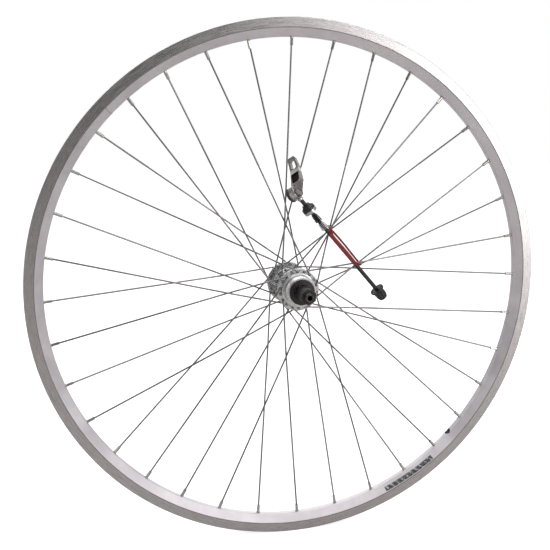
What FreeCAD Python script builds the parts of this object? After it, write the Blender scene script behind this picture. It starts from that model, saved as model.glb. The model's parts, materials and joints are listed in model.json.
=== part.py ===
"""Rear bicycle wheel: 700C rim, 36 spokes laced three-cross, screw-on freewheel hub, quick-release skewer.

The origin is the middle of the axle, halfway between the locknut faces. +Y runs along the axle from the
drive side to the left side, +Z is up. The skewer lies across the drive side, tied to the spokes.
All sizes are in millimetres.
"""
import FreeCAD, Part
import math
import os

Vector = FreeCAD.Vector

# ---- rim
BEAD_SEAT_R = 311.0           # 622 mm bead seat diameter
FLANGE_HEIGHT = 5.8
RIM_R = BEAD_SEAT_R + FLANGE_HEIGHT
RIM_HALF_WIDTH = 11.0
SPOKE_BED_R = 295.8
SPOKE_BED_HALF_WIDTH = 3.2
WELL_R = 308.0
WELL_HALF_WIDTH = 4.6
RIM_WALL = 1.7
TAPE_THICKNESS = 0.8
VALVE_HOLE_R = 4.25
ACCESS_HOLE_R = 3.8
SLEEVE_HALF_ANGLE = 3.6       # degrees of rim filled by the joint sleeve, each way
SLEEVE_GAP = 0.12

# ---- spokes and lacing
SPOKE_COUNT = 36
SPOKE_PITCH = 360.0 / SPOKE_COUNT
FIRST_SPOKE_ANGLE = 10.9      # from +Z towards -X
LACING_ANGLE = 60.0           # three-cross on 36 holes
SPOKE_R = 1.0
SPOKE_HEAD_R = 1.9
SPOKE_HEAD_HEIGHT = 0.9
SPOKE_REACH = 4.0             # how far a spoke's thread goes past the spoke bed, inside its nipple
SPOKE_CLEARANCE = 0.12
EDGE_REACH = 8.0              # how far a spoke lies flat along its flange, from the elbow
LAST_CROSSING_ANGLE = 10.0    # the outermost crossing, seen from the spoke's own rim hole
VALVE_GAP = 21.5              # the valve hole lies between spokes 21 and 22
JOINT_GAP = 3.5               # the rim joint lies opposite, between spokes 3 and 4

# ---- nipples
NIPPLE_R = 1.95
NIPPLE_HEAD_R = 3.0
NIPPLE_BELOW_BED = 9.5
NIPPLE_ABOVE_BED = 4.6
NIPPLE_FLATS = 3.3
NIPPLE_HOLE_R = 2.25

# ---- hub
HOLE_CIRCLE_R = 22.5
HUB_HOLE_R = 1.25
FLANGE_R = 26.0
FLANGE_THICKNESS = 3.2
HUB_SEAM_GAP = 1.6            # from a flange's inner face to where the barrel is joined to it
DRIVE_FLANGE_Y = -17.0
LEFT_FLANGE_Y = 37.0
THREAD_R = 17.4               # 1.370 inch freewheel thread
THREAD_END_Y = -36.0
THREAD_START_Y = -25.5
LEFT_SHELL_END_Y = 47.0
CUP_R = 14.0
DRIVE_CAP_R = 15.4
LEFT_CAP_R = 14.8
SHELL_BORE_R = 10.0

# ---- bearings
BALL_R = 3.175                # quarter-inch balls
BALL_COUNT = 9
BALL_CIRCLE_R = 9.7
RACE_CLEARANCE = 0.1
DRIVE_BALLS_Y = -29.5
LEFT_BALLS_Y = 40.5

# ---- axle set
AXLE_R = 5.0
AXLE_END_R = 4.8              # turned down where it sits in the dropouts
AXLE_BORE_R = 2.75
AXLE_HALF_LENGTH = 70.5
LOCKNUT_FACE = 65.0           # 130 mm over the locknuts
LOCKNUT_HEIGHT = 5.0
LOCKNUT_FLATS = 17.0
CONE_R = 8.6
CONE_LENGTH = 8.5             # from the ball centres to the outer end
CONE_FLATS = 15.0
WASHER_THICKNESS = 1.5

# ---- skewer placement
SKEWER_PIVOT = Vector(-6.1, -25.0, 116.7)
ROD_SLOPE = 48.5              # degrees below +X, from the lever to the nut
ROD_LEAN = 3.1                # degrees that the nut end leans towards the wheel
CAM_AXIS_TILT = 36.5          # degrees that the cam axis leans out of the wheel's plane
LEVER_ANGLE = 58.3            # degrees open from pointing straight out along the rod

# ---- skewer parts, placed along the rod from the cam pivot
ROD_R = 2.5
ROD_END = 174.0
EYE_R = 6.0
EYE_HALF_WIDTH = 1.7
EYE_OFFSET = 0.583            # eye centre from the pivot at rest
CAM_R = 3.0
CAM_THROW = 0.9
CAM_SLOT_CLEARANCE = 0.25
JOURNAL_R = 4.2
RUNNING_CLEARANCE = 0.05
HOUSING_R = 8.7
HOUSING_BACK = -4.2
CAP_RING_BACK = -7.4
CAP_RING_R = 8.8
END_CAP_R = 6.4
END_CAP_BACK = -10.1
HOUSING_FRONT = 3.6
COLLAR_R = 3.5
COLLAR_END = 10.5
LEVER_EYE_R = 6.6
LEVER_EYE_BACK = 3.9          # along the cam axis, as are the next two
LEVER_EYE_FRONT = 6.7
CAM_SHAFT_FRONT = 5.6
CUP_START = 18.7
CUP_END = 26.3
RING_END = 30.4
SPRING_WIRE_R = 0.55
BLACK_SPRING = (34.4, 46.4, 3.2, 4.1)     # start, end, first and last coil radius
STEEL_SPRING = (47.5, 58.8, 3.3, 4.6)
SPRING_TURNS = 5
NUT_START = 161.5
NUT_END = 176.6
NUT_FLANGE_R = 9.0
INSERT_R = 3.6
BAND_R = 0.9
BAND_BACK_Y = -9.5            # the strand behind the crossed spokes

OUT = "parts"
DRIVE, LEFT = -1, 1


# ---------------------------------------------------------------- helpers

def save(shape, name):
    """Write one node as a STEP file."""
    if not shape.isValid():
        raise ValueError(name + " is not a valid shape")
    shape.exportStep(os.path.join(OUT, name + ".step"))
    print(name, len(shape.Solids), "solids", round(shape.Volume, 1), "mm3")


def around(radius, y, degrees):
    """A point at an angle from +Z towards -X."""
    a = math.radians(degrees)
    return Vector(-radius * math.sin(a), y, radius * math.cos(a))


def rounded_wire(corners):
    """A closed outline through (x, y, radius) corners, each rounded by an arc."""
    count = len(corners)
    points = [Vector(c[0], c[1], 0) for c in corners]
    starts, mids, ends = [], [], []
    for i, corner in enumerate(corners):
        here = points[i]
        back = (points[i - 1] - here).normalize()
        ahead = (points[(i + 1) % count] - here).normalize()
        half = back.getAngle(ahead) / 2
        if corner[2] == 0 or math.sin(half) > 0.9999:
            starts.append(here)
            mids.append(None)
            ends.append(here)
            continue
        reach = corner[2] / math.tan(half)
        bisector = (back + ahead).normalize()
        centre = here + bisector * (corner[2] / math.sin(half))
        starts.append(here + back * reach)
        mids.append(centre - bisector * corner[2])
        ends.append(here + ahead * reach)
    edges = []
    for i in range(count):
        if mids[i] is not None:
            edges.append(Part.Arc(starts[i], mids[i], ends[i]).toShape())
        after = starts[(i + 1) % count]
        if ends[i].distanceToPoint(after) > 1e-6:
            edges.append(Part.LineSegment(ends[i], after).toShape())
    return Part.Wire(edges)


def turned(corners, angle=360.0):
    """A solid turned about Y from an outline of (radius, y, corner radius)."""
    face = Part.Face(rounded_wire(corners))
    return face.revolve(Vector(0, 0, 0), Vector(0, 1, 0), angle)


def turned_plain(points):
    """A solid turned about Y from plain (radius, y) points."""
    return turned([(r, y, 0) for r, y in points])


def mirrored_outline(half):
    """Complete a section that is the same on both sides of the middle plane."""
    return half + [(r, -y, fillet) for r, y, fillet in reversed(half)]


def rod_between(start, end, radius):
    """A round bar from one point to another."""
    axis = end - start
    return Part.makeCylinder(radius, axis.Length, start, axis)


def bent_bar(points, radius):
    """A round bar through several points, with a ball at each bend."""
    pieces = [rod_between(a, b, radius) for a, b in zip(points, points[1:])]
    for point in points[1:-1]:
        pieces.append(Part.makeSphere(radius, point))
    return pieces[0].fuse(pieces[1:]).removeSplitter()


def group(shapes):
    """Several separate solids in one node."""
    return Part.makeCompound(shapes)


# ---------------------------------------------------------------- lacing

def spoke_side(index):
    """Even spokes go to the left flange, odd ones to the drive flange."""
    return DRIVE if index % 2 else LEFT


def spoke_turn(index):
    """Which way round the hub a spoke runs from its rim hole: -1 or +1."""
    return -1 if index % 4 < 2 else 1


def flange_y(side):
    return DRIVE_FLANGE_Y if side == DRIVE else LEFT_FLANGE_Y


def spoke_points(index):
    """The bends of one spoke's centre line, from its head to the spoke bed.

    Spokes with turn -1 leave the flange's outer face, lie flat on it as far as its edge and pass
    inside their partner at the last crossing. Spokes with turn +1 leave its inner face and pass outside.
    """
    side = spoke_side(index)
    turn = spoke_turn(index)
    outward = side if turn < 0 else -side
    rim_angle = FIRST_SPOKE_ANGLE + SPOKE_PITCH * index
    hub_angle = rim_angle + turn * LACING_ANGLE
    middle = flange_y(side)
    half = FLANGE_THICKNESS / 2
    head = around(HOLE_CIRCLE_R, middle - outward * (half + SPOKE_HEAD_HEIGHT / 2), hub_angle)
    elbow = around(HOLE_CIRCLE_R, middle + outward * (half + SPOKE_R + SPOKE_CLEARANCE), hub_angle)
    # the radius at which the straight line meets its partner
    lace = math.radians(LACING_ANGLE)
    cross = math.radians(LAST_CROSSING_ANGLE)
    rim_term = SPOKE_BED_R * math.sin(cross)
    hub_term = HOLE_CIRCLE_R * math.sin(lace - cross)
    cross_r = SPOKE_BED_R * HOLE_CIRCLE_R * math.sin(lace) / (rim_term + hub_term)
    flat_rim = around(SPOKE_BED_R, 0, rim_angle)
    flat_cross = around(cross_r, 0, rim_angle + turn * LAST_CROSSING_ANGLE)
    flat_hub = around(HOLE_CIRCLE_R, 0, hub_angle)
    share = (flat_cross - flat_rim).Length / (flat_hub - flat_rim).Length
    layer = side * turn * (SPOKE_R + SPOKE_CLEARANCE / 2)
    crossing = flat_cross + Vector(0, middle * share + layer, 0)
    if turn > 0:
        return [head, elbow, crossing, flat_rim]
    edge = elbow + (flat_rim - flat_hub).normalize() * EDGE_REACH
    return [head, elbow, edge, crossing, flat_rim]


def spoke_axis(index):
    """The line that a nipple and its hole follow: a point on the spoke bed and the outward direction."""
    *_, crossing, rim_point = spoke_points(index)
    return rim_point, (rim_point - crossing).normalize()


def spoke(index):
    head, elbow, *bends, rim_point = spoke_points(index)
    tip = rim_point + (rim_point - bends[-1]).normalize() * SPOKE_REACH
    along = (elbow - head).normalize()
    button = Part.makeCylinder(SPOKE_HEAD_R, SPOKE_HEAD_HEIGHT, head - along * (SPOKE_HEAD_HEIGHT / 2), along)
    bar = bent_bar([head, elbow, *bends, tip], SPOKE_R).fuse(button).removeSplitter()
    if len(bar.Solids) != 1:
        raise ValueError("spoke %d is in %d pieces" % (index, len(bar.Solids)))
    return bar


def nipple(index):
    """A square-shanked nipple with a domed head inside the rim."""
    at, direction = spoke_axis(index)
    outline = [(SPOKE_R + 0.02, -NIPPLE_BELOW_BED), (NIPPLE_R, -NIPPLE_BELOW_BED), (NIPPLE_R, 1.6),
               (NIPPLE_HEAD_R, 2.8), (NIPPLE_HEAD_R - 0.3, 3.8), (2.0, NIPPLE_ABOVE_BED),
               (SPOKE_R + 0.02, NIPPLE_ABOVE_BED)]
    body = turned_plain(outline)
    grip_end = -1.5
    shank = Part.makeBox(NIPPLE_FLATS, NIPPLE_BELOW_BED + grip_end, NIPPLE_FLATS,
                         Vector(-NIPPLE_FLATS / 2, -NIPPLE_BELOW_BED, -NIPPLE_FLATS / 2))
    collar = Part.makeCylinder(NIPPLE_HEAD_R, NIPPLE_ABOVE_BED - grip_end, Vector(0, grip_end, 0), Vector(0, 1, 0))
    body = body.common(shank.fuse(collar))
    place = FreeCAD.Placement(at, FreeCAD.Rotation(Vector(0, 1, 0), direction))
    body.Placement = place
    return body


# ---------------------------------------------------------------- rim

def rim():
    half = [(SPOKE_BED_R, SPOKE_BED_HALF_WIDTH, 1.6),
            (304.9, RIM_HALF_WIDTH, 1.6),
            (RIM_R, RIM_HALF_WIDTH, 0.7),
            (RIM_R, 8.8, 0.9),
            (314.7, 8.8, 0.5),
            (314.0, 9.5, 0.3),
            (BEAD_SEAT_R, 9.5, 0.4),
            (BEAD_SEAT_R, 6.2, 0.8),
            (WELL_R, WELL_HALF_WIDTH, 1.0)]
    cavity_half = [(SPOKE_BED_R + RIM_WALL, 2.9, 0.6),
                   (305.6, 9.3, 1.2),
                   (BEAD_SEAT_R - RIM_WALL, 9.3, 0.8),
                   (BEAD_SEAT_R - RIM_WALL, 6.9, 0.8),
                   (WELL_R - RIM_WALL, WELL_HALF_WIDTH + 0.7, 0.8)]
    body = turned(mirrored_outline(half)).cut(turned(mirrored_outline(cavity_half)))
    holes = []
    for index in range(SPOKE_COUNT):
        at, direction = spoke_axis(index)
        holes.append(rod_between(at - direction * 2, at + direction * 5, NIPPLE_HOLE_R))
        angle = FIRST_SPOKE_ANGLE + SPOKE_PITCH * index
        holes.append(rod_between(around(WELL_R - 4, 0, angle), around(WELL_R + 2, 0, angle), ACCESS_HOLE_R))
    valve = FIRST_SPOKE_ANGLE + SPOKE_PITCH * VALVE_GAP
    holes.append(rod_between(around(SPOKE_BED_R - 2, 0, valve), around(BEAD_SEAT_R, 0, valve), VALVE_HOLE_R))
    return body.cut(holes)


def rim_tape():
    """A rubber strip that lies in the well over the access holes, with a hole for the valve."""
    inner = WELL_R + 0.02
    outer = WELL_R + TAPE_THICKNESS
    width = WELL_HALF_WIDTH - 0.6
    body = turned_plain([(inner, -width), (outer, -width), (outer, width), (inner, width)])
    valve = FIRST_SPOKE_ANGLE + SPOKE_PITCH * VALVE_GAP
    hole = rod_between(around(inner - 3, 0, valve), around(outer + 3, 0, valve), VALVE_HOLE_R)
    return body.cut(hole)


def rim_joint_sleeve():
    """The plug inside the rim's cavity that joins the two ends of the extrusion."""
    gap = SLEEVE_GAP
    half = [(SPOKE_BED_R + RIM_WALL + gap, 2.0, 0),
            (305.7, 9.3 - gap - 0.35, 0),
            (BEAD_SEAT_R - RIM_WALL - gap, 9.3 - gap - 0.35, 0),
            (BEAD_SEAT_R - RIM_WALL - gap, 7.3, 0),
            (WELL_R - RIM_WALL - gap, WELL_HALF_WIDTH + 0.9, 0)]
    body = turned(mirrored_outline(half), 2 * SLEEVE_HALF_ANGLE)
    # the sweep starts at +X, so it is turned back to the joint's angle
    start = FIRST_SPOKE_ANGLE + SPOKE_PITCH * JOINT_GAP
    body.rotate(Vector(0, 0, 0), Vector(0, 1, 0), -90 - start - SLEEVE_HALF_ANGLE)
    return body


# ---------------------------------------------------------------- hub

def slab(shape, start, end):
    """The stretch of a shape between two places along Y."""
    reach = 2 * FLANGE_R
    box = Part.makeBox(2 * reach, end - start, 2 * reach, Vector(-reach, start, -reach))
    return shape.common(box)


def hub():
    """The drive flange with its freewheel boss, the barrel, and the left flange."""
    half = FLANGE_THICKNESS / 2
    drive_out = DRIVE_FLANGE_Y - half
    drive_in = DRIVE_FLANGE_Y + half
    left_in = LEFT_FLANGE_Y - half
    left_out = LEFT_FLANGE_Y + half
    outline = [(DRIVE_CAP_R, THREAD_END_Y, 0.2),
               (THREAD_R, THREAD_END_Y, 0.2),
               (THREAD_R, THREAD_START_Y, 0),
               (THREAD_R - 0.7, THREAD_START_Y + 0.4, 0),
               (THREAD_R - 0.7, -24.0, 0),
               (19.6, -24.0, 0.5),
               (19.6, -21.6, 0.4),
               (21.0, -21.0, 0.6),
               (21.0, drive_out, 0.4),
               (FLANGE_R, drive_out, 1.0),
               (FLANGE_R, drive_in, 1.0),
               (17.2, drive_in, 1.5),
               (14.5, -9.5, 12.0),
               (12.6, 9.5, 60.0),
               (14.5, 29.0, 12.0),
               (17.2, left_in, 1.5),
               (FLANGE_R, left_in, 1.0),
               (FLANGE_R, left_out, 1.0),
               (18.6, left_out, 0.5),
               (18.6, 42.0, 0.6),
               (16.6, 43.5, 0.6),
               (16.6, LEFT_SHELL_END_Y, 0.4),
               (LEFT_CAP_R, LEFT_SHELL_END_Y, 0.2),
               (LEFT_CAP_R, LEFT_BALLS_Y + 4.6, 0),
               (CUP_R, LEFT_BALLS_Y + 4.6, 0),
               (CUP_R, LEFT_BALLS_Y - 4.6, 0),
               (SHELL_BORE_R, LEFT_BALLS_Y - 4.6, 0),
               (SHELL_BORE_R, DRIVE_BALLS_Y + 4.6, 0),
               (CUP_R, DRIVE_BALLS_Y + 4.6, 0),
               (CUP_R, DRIVE_BALLS_Y - 4.0, 0),
               (DRIVE_CAP_R, DRIVE_BALLS_Y - 4.0, 0)]
    body = turned(outline)
    holes = []
    for index in range(SPOKE_COUNT):
        head, elbow, *_ = spoke_points(index)
        through = (elbow - head).normalize() * 4
        holes.append(rod_between(head - through, elbow + through, HUB_HOLE_R))
    body = body.cut(holes)
    drive_seam, left_seam = drive_in + HUB_SEAM_GAP, left_in - HUB_SEAM_GAP
    return (slab(body, THREAD_END_Y, drive_seam), slab(body, drive_seam, left_seam),
            slab(body, left_seam, LEFT_SHELL_END_Y))


def ball_set(centre_y):
    balls = []
    for index in range(BALL_COUNT):
        balls.append(Part.makeSphere(BALL_R, around(BALL_CIRCLE_R, centre_y, 360.0 / BALL_COUNT * index)))
    return group(balls)


def bearing_cup(side, centre_y):
    """A pressed steel cup with a chamfered race, open towards the outside."""
    race = BALL_R + RACE_CLEARANCE
    chamfer = race * math.tan(math.radians(22.5))
    rows = [(CUP_R - 0.02, -4.5), (CUP_R - 0.02, 3.6), (BALL_CIRCLE_R + race, 3.6),
            (BALL_CIRCLE_R + race, -chamfer), (BALL_CIRCLE_R + chamfer, -race), (7.6, -race), (7.6, -4.5)]
    return turned_plain([(r, centre_y + side * v) for r, v in rows])


def cone(side, centre_y):
    """The threaded cone on the axle, with its race facing the middle of the hub."""
    race = BALL_R + RACE_CLEARANCE
    chamfer = race * math.tan(math.radians(22.5))
    rows = [(AXLE_R + 0.02, -2.4), (BALL_CIRCLE_R - race, -2.4), (BALL_CIRCLE_R - race, chamfer),
            (BALL_CIRCLE_R - chamfer, race), (CONE_R, race), (CONE_R, CONE_LENGTH), (AXLE_R + 0.02, CONE_LENGTH)]
    body = turned_plain([(r, centre_y + side * v) for r, v in rows])
    low = min(centre_y + side * (CONE_LENGTH - 1.9), centre_y + side * (CONE_LENGTH + 1))
    flats = []
    for base in (CONE_FLATS / 2, -CONE_FLATS / 2 - 10):
        flats.append(Part.makeBox(20, 2.9, 10, Vector(-10, low, base)))
    return body.cut(flats)


def dust_cap(side, centre_y, seat_r):
    """A thin ring pressed into the shell, clear of the cone."""
    inner = CONE_R + 0.35
    rows = [(seat_r - 0.03, 4.65), (seat_r - 0.03, 5.9), (inner + 1.6, 6.3), (inner, 6.3), (inner, 5.5),
            (inner + 1.6, 5.5), (seat_r - 0.8, 4.65)]
    return turned_plain([(r, centre_y + side * v) for r, v in rows])


# ---------------------------------------------------------------- axle set

def axle():
    """A hollow bar whose ends, outside the locknuts, are turned down a little."""
    return turned_plain([(AXLE_BORE_R, -AXLE_HALF_LENGTH), (AXLE_END_R, -AXLE_HALF_LENGTH),
                         (AXLE_END_R, -LOCKNUT_FACE), (AXLE_R, -LOCKNUT_FACE),
                         (AXLE_R, LOCKNUT_FACE), (AXLE_END_R, LOCKNUT_FACE),
                         (AXLE_END_R, AXLE_HALF_LENGTH), (AXLE_BORE_R, AXLE_HALF_LENGTH)])


def collar(radius, start, end):
    """A plain ring on the axle, between two places along Y."""
    inner = AXLE_R + 0.02
    return turned([(inner, start, 0), (radius, start, 0.3), (radius, end, 0.3), (inner, end, 0)])


def lock_washer(side, start):
    """A keyed washer: its tab sits in the axle's slot, so it can't turn."""
    end = start + side * WASHER_THICKNESS
    return collar(7.6, min(start, end), max(start, end))


def hexagon(flats, start, height):
    """A hexagonal prism along Y."""
    radius = flats / math.sqrt(3)
    points = [around(radius, start, 60.0 * i) for i in range(7)]
    return Part.Face(Part.makePolygon(points)).extrude(Vector(0, height, 0))


def locknut(side):
    """A hexagon nut with a knurled ring on its dropout face."""
    start = side * (LOCKNUT_FACE - LOCKNUT_HEIGHT)
    end = side * LOCKNUT_FACE
    low = min(start, end)
    corner_r = LOCKNUT_FLATS / math.sqrt(3)
    chamfered = turned([(AXLE_R + 0.02, low, 0), (corner_r, low, 0.6), (corner_r, low + LOCKNUT_HEIGHT, 0.6),
                        (AXLE_R + 0.02, low + LOCKNUT_HEIGHT, 0)])
    body = hexagon(LOCKNUT_FLATS, low, LOCKNUT_HEIGHT).common(chamfered)
    grooves = []
    for index in range(12):
        spoke_line = Part.makeBox(0.5, 0.6, 3.0, Vector(-0.25, end - 0.3, 5.8))
        spoke_line.rotate(Vector(0, 0, 0), Vector(0, 1, 0), 30.0 * index + 15)
        grooves.append(spoke_line)
    return body.cut(grooves)


# ---------------------------------------------------------------- skewer frame

def along_rod():
    """Unit vector from the lever to the nut."""
    a = math.radians(ROD_SLOPE)
    lean = math.radians(ROD_LEAN)
    return Vector(math.cos(a) * math.cos(lean), math.sin(lean), -math.sin(a) * math.cos(lean))


def cam_axis():
    """Unit vector along the cam pivot, square to the rod, towards the lever's side."""
    a = math.radians(CAM_AXIS_TILT)
    across = along_rod().cross(Vector(0, 1, 0)).normalize()
    return across * math.cos(a) + along_rod().cross(across) * math.sin(a)


def placed(shape, x_axis, z_axis, at):
    """Move a shape from its own frame to the skewer."""
    rotation = FreeCAD.Rotation(x_axis, z_axis.cross(x_axis), z_axis, "ZXY")
    shape.Placement = FreeCAD.Placement(at, rotation).multiply(shape.Placement)
    return shape


def on_housing(shape):
    """Frame: X along the rod, Z along the cam axis, origin at the pivot."""
    return placed(shape, along_rod(), cam_axis(), SKEWER_PIVOT)


def lever_direction():
    """Unit vector from the pivot to the lever's tip, at rest."""
    a = math.radians(LEVER_ANGLE)
    sideways = cam_axis().cross(along_rod())
    return along_rod() * -math.cos(a) + sideways * math.sin(a)


def on_lever(shape):
    """Frame: X along the lever, Y towards its hollow face, Z along the cam axis."""
    return placed(shape, lever_direction(), cam_axis(), SKEWER_PIVOT)


def on_rod(shape):
    """Frame: Y along the rod from the pivot, for solids turned about Y."""
    rotation = FreeCAD.Rotation(Vector(0, 1, 0), along_rod())
    shape.Placement = FreeCAD.Placement(SKEWER_PIVOT, rotation).multiply(shape.Placement)
    return shape


def rod_point(along, out, lift):
    """A point given along the rod, across it away from the hub, and from it towards the left side."""
    across = along_rod().cross(Vector(0, 1, 0)).normalize()
    return SKEWER_PIVOT + along_rod() * along + across * out + Vector(0, lift, 0)


# ---------------------------------------------------------------- skewer parts

def oval(radius, shift, low, high, direction):
    """A prism along Z whose section is a circle stretched both ways along a direction."""
    height = high - low
    ends = []
    for sign in (-1, 1):
        ends.append(Part.makeCylinder(radius, height, direction * (sign * shift) + Vector(0, 0, low)))
    side = Vector(-direction.y, direction.x, 0) * radius
    corners = [direction * -shift + side, direction * shift + side, direction * shift - side,
               direction * -shift - side, direction * -shift + side]
    middle = Part.Face(Part.makePolygon([c + Vector(0, 0, low) for c in corners])).extrude(Vector(0, 0, height))
    return ends[0].fuse([ends[1], middle]).removeSplitter()


def skewer_rod():
    """The rod and the eye that the cam pulls, in the housing's frame."""
    eye = Part.makeCylinder(EYE_R, 2 * EYE_HALF_WIDTH, Vector(0, 0, -EYE_HALF_WIDTH))
    slot = oval(CAM_R + CAM_SLOT_CLEARANCE, CAM_THROW, -EYE_HALF_WIDTH - 1, EYE_HALF_WIDTH + 1, Vector(0, 1, 0))
    eye = eye.cut(slot)
    eye.translate(Vector(EYE_OFFSET, 0, 0))
    neck = EYE_OFFSET + EYE_R - 1.2
    shank = rod_between(Vector(neck, 0, 0), Vector(ROD_END - 0.6, 0, 0), ROD_R)
    tip = Part.makeCone(ROD_R, ROD_R - 0.6, 0.6, Vector(ROD_END - 0.6, 0, 0), Vector(1, 0, 0))
    return on_housing(eye.fuse([shank, tip]).removeSplitter())


def skewer_head():
    """The cam housing: a barrel across the rod, with a collar that the rod runs out of."""
    length = HOUSING_FRONT - HOUSING_BACK
    barrel = Part.makeCylinder(HOUSING_R, length, Vector(0, 0, HOUSING_BACK))
    barrel = barrel.makeFillet(0.8, [e for e in barrel.Edges if e.Curve.TypeId == "Part::GeomCircle"])
    neck = rod_between(Vector(7.2, 0, 0), Vector(COLLAR_END, 0, 0), COLLAR_R)
    body = barrel.fuse(neck)
    bore = Part.makeCylinder(JOURNAL_R + RUNNING_CLEARANCE, length + 2, Vector(0, 0, HOUSING_BACK - 1))
    cavity = oval(EYE_R + 0.3, 1.3, -EYE_HALF_WIDTH - 0.3, EYE_HALF_WIDTH + 0.3, Vector(1, 0, 0))
    passage = rod_between(Vector(0, 0, 0), Vector(COLLAR_END + 1, 0, 0), ROD_R + 0.3)
    return on_housing(body.cut([bore, cavity, passage]))


def head_cap_ring():
    """The black ring on the far end of the housing."""
    length = HOUSING_BACK - CAP_RING_BACK
    ring = Part.makeCylinder(CAP_RING_R, length, Vector(0, 0, CAP_RING_BACK))
    ring = ring.makeFillet(1.0, [e for e in ring.Edges if e.Curve.TypeId == "Part::GeomCircle"])
    bore = Part.makeCylinder(JOURNAL_R + 0.3, length + 2, Vector(0, 0, CAP_RING_BACK - 1))
    return on_housing(ring.cut(bore))


def cam_shaft():
    """Two journals and the eccentric between them that works in the rod's eye."""
    eccentric_half = EYE_HALF_WIDTH + 0.3
    shoulder = CAP_RING_BACK - 0.35
    back = Part.makeCylinder(JOURNAL_R, -shoulder - eccentric_half, Vector(0, 0, shoulder))
    stub = Part.makeCylinder(2.5, 1.3, Vector(0, 0, shoulder - 1.3))
    middle = Part.makeCylinder(CAM_R, 2 * eccentric_half, Vector(0, -CAM_THROW, -eccentric_half))
    front = Part.makeCylinder(JOURNAL_R, CAM_SHAFT_FRONT - eccentric_half, Vector(0, 0, eccentric_half))
    return on_lever(back.fuse([stub, middle, front]).removeSplitter())


def cam_end_cap():
    """A polished domed cap on the shaft's far end."""
    front = CAP_RING_BACK - 0.37
    dome = turned([(0, END_CAP_BACK, 0), (4.0, END_CAP_BACK, 1.2), (END_CAP_R, END_CAP_BACK + 1.2, 0.8),
                   (END_CAP_R, front, 0.2), (0, front, 0)])
    dome.rotate(Vector(0, 0, 0), Vector(1, 0, 0), 90)
    socket = Part.makeCylinder(2.52, 1.5, Vector(0, 0, front - 1.35))
    return on_lever(dome.cut([socket]))


def qr_lever():
    """The lever: an eye on the cam shaft and a cranked blade with a hollow and a finger slot."""
    eye = Part.makeCylinder(LEVER_EYE_R, LEVER_EYE_FRONT - LEVER_EYE_BACK, Vector(0, 0, LEVER_EYE_BACK))
    profile = rounded_wire([(1.0, -5.0, 0), (11.0, -3.6, 8.0), (30.0, -3.2, 25.0), (48.0, 1.4, 1.4),
                            (47.4, 5.1, 1.4), (29.5, 2.1, 20.0), (12.0, 3.4, 8.0), (1.0, 5.6, 0)])
    blade = Part.Face(profile).extrude(Vector(0, 0, 16))
    blade.translate(Vector(0, 0, -2))
    plan = rounded_wire([(0, -1.0, 0), (12.0, -1.2, 2.0), (32.0, 0.0, 20.0), (48.0, 1.2, 5.0),
                         (48.0, 11.4, 5.0), (32.0, 12.6, 20.0), (13.0, 12.8, 5.0), (0, LEVER_EYE_FRONT, 0)])
    plate = Part.Face(plan).extrude(Vector(0, 0, 24))
    plate.rotate(Vector(0, 0, 0), Vector(1, 0, 0), 90)
    plate.translate(Vector(0, 12, 0))
    body = blade.common(plate)
    relief = Part.makeCylinder(HOUSING_R + 0.5, LEVER_EYE_BACK + 3.0, Vector(0, 0, -3.0))
    socket = Part.makeCylinder(JOURNAL_R + 0.02, CAM_SHAFT_FRONT - LEVER_EYE_BACK + 1.02,
                               Vector(0, 0, LEVER_EYE_BACK - 1))
    hollow = rounded_wire([(10.8, 1.0, 1.2), (24.5, 1.2, 1.2), (24.5, 11.2, 1.2), (13.8, 11.4, 1.8),
                           (10.8, 9.8, 1.2)])
    hollow = Part.Face(hollow).extrude(Vector(0, 0, 6))
    hollow.rotate(Vector(0, 0, 0), Vector(1, 0, 0), 90)
    hollow.translate(Vector(0, 6.9, 0))
    slot = rounded_wire([(31.0, 3.0, 2.6), (43.5, 3.6, 2.6), (43.5, 9.2, 2.6), (31.0, 9.8, 2.6)])
    slot = Part.Face(slot).extrude(Vector(0, 0, 24))
    slot.rotate(Vector(0, 0, 0), Vector(1, 0, 0), 90)
    slot.translate(Vector(0, 12, 0))
    dimple = Part.makeCylinder(0.9, 1.4, Vector(5.2, -0.8, LEVER_EYE_FRONT - 0.6))
    return on_lever(body.fuse(eye).cut([relief, socket, hollow, slot, dimple]))


def cup_washer():
    """The black cup that slides on the rod, its wide side towards the nut."""
    inner = ROD_R + 0.1
    cup = turned([(inner, CUP_START, 0), (4.6, CUP_START, 0.6), (5.6, CUP_START + 2.4, 1.0),
                  (8.0, CUP_START + 4.4, 0.8), (8.3, CUP_END, 0.3), (inner, CUP_END, 0)])
    return on_rod(cup)


def serrated_ring():
    """The steel ring on the cup, with teeth that grip the dropout."""
    ring = turned([(5.2, CUP_END + 0.02, 0), (8.2, CUP_END + 0.02, 0.3), (8.2, RING_END, 0.4), (5.6, RING_END, 0.3)])
    teeth = []
    for index in range(24):
        notch = Part.makeBox(1.1, 1.1, 6.0, Vector(-0.55, -0.55, 4.0))
        notch.rotate(Vector(0, 0, 0), Vector(0, 0, 1), 45)
        notch.translate(Vector(0, RING_END + 0.25, 0))
        notch.rotate(Vector(0, 0, 0), Vector(0, 1, 0), 15.0 * index)
        teeth.append(notch)
    return on_rod(ring.cut(teeth))


def conical_spring(start, end, first_r, last_r):
    """A wire wound round the rod in a widening coil."""
    height = end - start - 2 * SPRING_WIRE_R
    pitch = height / SPRING_TURNS
    widening = math.degrees(math.atan((last_r - first_r) / height))
    helix = Part.makeHelix(pitch, height, first_r, widening)
    profile = Part.Wire(Part.makeCircle(SPRING_WIRE_R, Vector(first_r, 0, 0), Vector(0, 1, 0)))
    coil = helix.makePipeShell([profile], True, True)
    coil.rotate(Vector(0, 0, 0), Vector(1, 0, 0), -90)
    coil.translate(Vector(0, start + SPRING_WIRE_R, 0))
    return on_rod(coil)


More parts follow.
